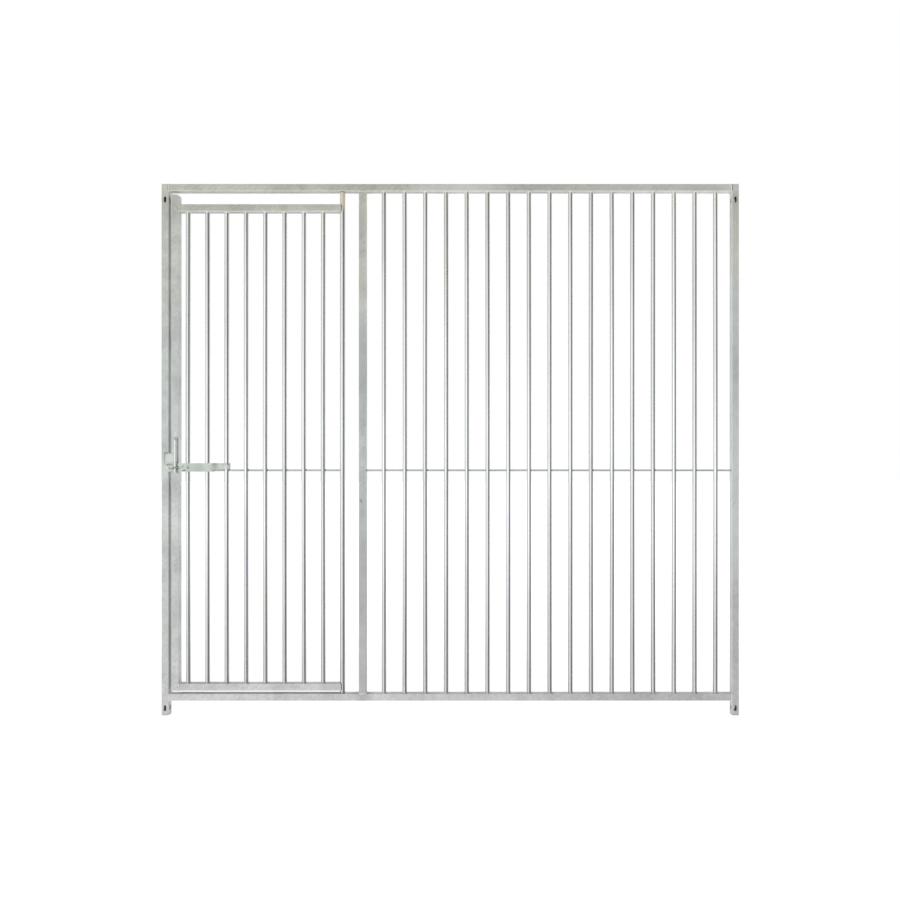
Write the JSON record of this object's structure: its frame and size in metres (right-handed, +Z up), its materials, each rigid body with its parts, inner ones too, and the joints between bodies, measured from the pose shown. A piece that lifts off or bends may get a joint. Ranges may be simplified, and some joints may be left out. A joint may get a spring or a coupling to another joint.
{
  "type": "bar panel with door",
  "caption": "Galvanised steel bar panel for a run or enclosure: square tube frame, round bars tied by a thin rod, and a swinging door with a wrap-round hasp.",
  "frame": {"origin": "bottom centre of the bounding box, on the floor under the middle of the panel", "axes": "+X to the right seen from the latch side, +Y away from the latch side, +Z up"},
  "size_m": [2, 0.048, 1.84],
  "materials": {
    "galvanised_tube": "hot-dip galvanised square tube, satin with soft spangle and cloudy mottling",
    "galvanised_bar": "hot-dip galvanised round bar, smoother and a little brighter than the tube",
    "galvanised_fitting": "hot-dip galvanised latch parts and pins, matt with thick rounded zinc"
  },
  "bodies": {
    "frame": {"left_post": "galvanised_tube", "right_post": "galvanised_tube", "mullion": "galvanised_tube", "bottom_rail": "galvanised_tube", "top_rail": "galvanised_tube", "fixed_bar_01": "galvanised_bar", "fixed_bar_02": "galvanised_bar", "fixed_bar_03": "galvanised_bar", "fixed_bar_04": "galvanised_bar", "fixed_bar_05": "galvanised_bar", "fixed_bar_06": "galvanised_bar", "fixed_bar_07": "galvanised_bar", "fixed_bar_08": "galvanised_bar", "fixed_bar_09": "galvanised_bar", "fixed_bar_10": "galvanised_bar", "fixed_bar_11": "galvanised_bar", "fixed_bar_12": "galvanised_bar", "fixed_bar_13": "galvanised_bar", "fixed_bar_14": "galvanised_bar", "fixed_bar_15": "galvanised_bar", "fixed_bar_16": "galvanised_bar", "fixed_bar_17": "galvanised_bar", "fixed_tie_rod": "galvanised_bar", "pivot_pin_bottom": "galvanised_fitting", "pivot_pin_top": "galvanised_fitting", "keeper_plate": "galvanised_fitting"},
    "door": {"door_lock_stile": "galvanised_tube", "door_bottom_rail": "galvanised_tube", "door_top_rail": "galvanised_tube", "door_pivot_tube": "galvanised_bar", "door_bar_1": "galvanised_bar", "door_bar_2": "galvanised_bar", "door_bar_3": "galvanised_bar", "door_bar_4": "galvanised_bar", "door_bar_5": "galvanised_bar", "door_bar_6": "galvanised_bar", "door_bar_7": "galvanised_bar", "door_bar_8": "galvanised_bar", "door_tie_rod": "galvanised_bar", "keeper_lug": "galvanised_fitting"},
    "hasp": {"hasp_strap": "galvanised_fitting"},
    "hook": {"hook_rod": "galvanised_fitting"}
  },
  "joints": [
    {"name": "door_swing", "type": "hinge", "parent": "frame", "child": "door", "pos_m": [-0.375, 0.00825, 0.945], "axis": [0, 0, -1], "range_deg": [0, 150]},
    {"name": "hasp_swing", "type": "hinge", "parent": "door", "child": "hasp", "pos_m": [-0.7773, 0.00825, 0.862], "axis": [0, 0, 1], "range_deg": [0, 150]},
    {"name": "hook_swing", "type": "hinge", "parent": "door", "child": "hook", "pos_m": [-0.947, 0.00825, 0.9575], "axis": [0, 1, 0], "range_deg": [0, 170]}
  ]
}
